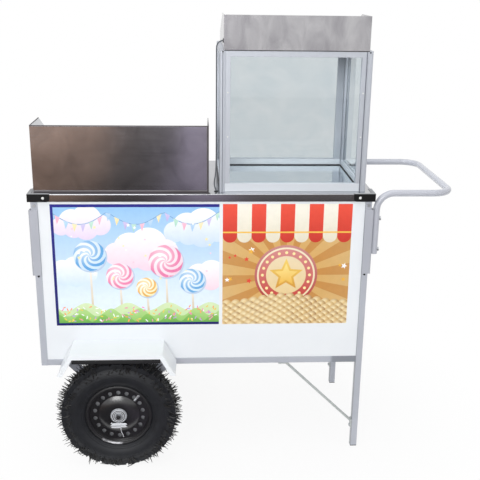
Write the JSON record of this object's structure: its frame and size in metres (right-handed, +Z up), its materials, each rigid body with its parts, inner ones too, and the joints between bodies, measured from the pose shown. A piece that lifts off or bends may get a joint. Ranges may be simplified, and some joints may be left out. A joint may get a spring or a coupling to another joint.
{
  "type": "vending_cart",
  "caption": "Hand-pushed cotton candy and popcorn cart: white cabinet on pneumatic wheels, stainless table with spinner bowl and wind guard, glazed popcorn case.",
  "frame": {"origin": "middle of the overall footprint, on the floor", "axes": "X along the cart towards the push handle, Y from the customer's side to the seller's side, Z up"},
  "size_m": [1.372, 0.717, 1.4745],
  "materials": {
    "painted_grey": "silver-grey gloss enamel on square steel tube",
    "painted_white": "white gloss enamel on folded sheet",
    "printed_vinyl": "printed self-adhesive vinyl, satin",
    "stainless": "bright-rolled stainless sheet",
    "spun_aluminium": "spun, satin",
    "aluminium_profile": "natural anodised extrusion",
    "clear_glass": "clear float glass",
    "zinc": "bright zinc plate",
    "steel": "plain rolled steel",
    "heater_metal": "heat-browned resistance element",
    "motor_paint": "grey enamel on cast housing",
    "black_paint": "black gloss enamel on pressed disc",
    "tyre_rubber": "moulded rubber",
    "black_rubber": "moulded rubber, matt",
    "black_plastic": "moulded, fine grain",
    "red_plastic": "moulded, gloss",
    "white_plastic": "moulded",
    "diffuser": "opal, frosted",
    "cable_jacket": "PVC cable jacket, satin"
  },
  "bodies": {
    "cart": {"posts": "painted_grey", "leg_plugs": "black_rubber", "frame_rails": "painted_grey", "post_sleeves": "painted_grey", "leg_braces": "painted_grey", "frame_bolts": "zinc", "front_panel": "painted_white", "side_panels": "painted_white", "floor_panel": "painted_white", "back_panel": "painted_white", "decals": "printed_vinyl", "control_panel": "painted_white", "switch_bezel": "black_plastic", "heat_control": "black_plastic", "power_inlet": "black_plastic", "hinge_leaves": "zinc", "table_top": "stainless", "corner_protectors": "black_plastic", "wind_guard": "stainless", "bowl": "spun_aluminium", "motor": "motor_paint", "motor_bracket": "steel", "case_floor": "aluminium_profile", "case_posts": "aluminium_profile", "case_frames": "aluminium_profile", "front_glass": "clear_glass", "side_glasses": "clear_glass", "case_roof": "aluminium_profile", "header": "stainless", "lamp_base": "white_plastic", "lamp_cover": "diffuser", "cable_grommets": "black_rubber", "lamp_cable": "cable_jacket", "handle": "painted_grey", "axle": "zinc", "axle_struts": "painted_grey", "axle_bushes": "zinc", "axle_fixings": "zinc", "fenders": "painted_white"},
    "near_wheel": {"near_tyre": "tyre_rubber", "near_rim": "black_paint", "near_hub": "zinc"},
    "far_wheel": {"far_tyre": "tyre_rubber", "far_rim": "black_paint", "far_hub": "zinc"},
    "spinner": {"spinner_head": "spun_aluminium", "heater_ring": "heater_metal", "spinner_shaft": "steel"},
    "left_door_leaf": {"left_door": "painted_white", "left_door_leaves": "zinc", "left_door_pull": "black_plastic"},
    "right_door_leaf": {"right_door": "painted_white", "right_door_leaves": "zinc", "right_door_pull": "black_plastic"},
    "case_door": {"case_door_frame": "aluminium_profile", "case_door_glass": "clear_glass", "case_door_leaves": "zinc", "case_door_knob": "black_plastic"},
    "switch_rocker": {"power_switch": "red_plastic"},
    "heat_dial": {"heat_knob": "black_plastic"}
  },
  "joints": [
    {"name": "near_wheel_spin", "type": "hinge", "parent": "cart", "child": "near_wheel", "pos_m": [-0.4155, -0.3075, 0.189], "axis": [0, 1, 0], "continuous": true},
    {"name": "far_wheel_spin", "type": "hinge", "parent": "cart", "child": "far_wheel", "pos_m": [-0.4155, 0.3075, 0.189], "axis": [0, 1, 0], "continuous": true},
    {"name": "spinner_spin", "type": "hinge", "parent": "cart", "child": "spinner", "pos_m": [-0.3915, 0, 0.869], "axis": [0, 0, 1], "continuous": true},
    {"name": "left_door_swing", "type": "hinge", "parent": "cart", "child": "left_door_leaf", "pos_m": [-0.654, 0.2488, 0.58], "axis": [0, 0, 1], "range_deg": [0, 110]},
    {"name": "right_door_swing", "type": "hinge", "parent": "cart", "child": "right_door_leaf", "pos_m": [0.388, 0.2488, 0.58], "axis": [0, 0, -1], "range_deg": [0, 110]},
    {"name": "case_door_swing", "type": "hinge", "parent": "cart", "child": "case_door", "pos_m": [0.37325, 0.1758, 1.148], "axis": [0, 0, -1], "range_deg": [0, 100]},
    {"name": "switch_rock", "type": "hinge", "parent": "cart", "child": "switch_rocker", "pos_m": [-0.2515, 0.2405, 0.8585], "axis": [-1, 0, 0], "range_deg": [0, 18]},
    {"name": "heat_dial_turn", "type": "hinge", "parent": "cart", "child": "heat_dial", "pos_m": [-0.3415, 0.2445, 0.8585], "axis": [0, 1, 0], "range_deg": [0, 270]}
  ]
}
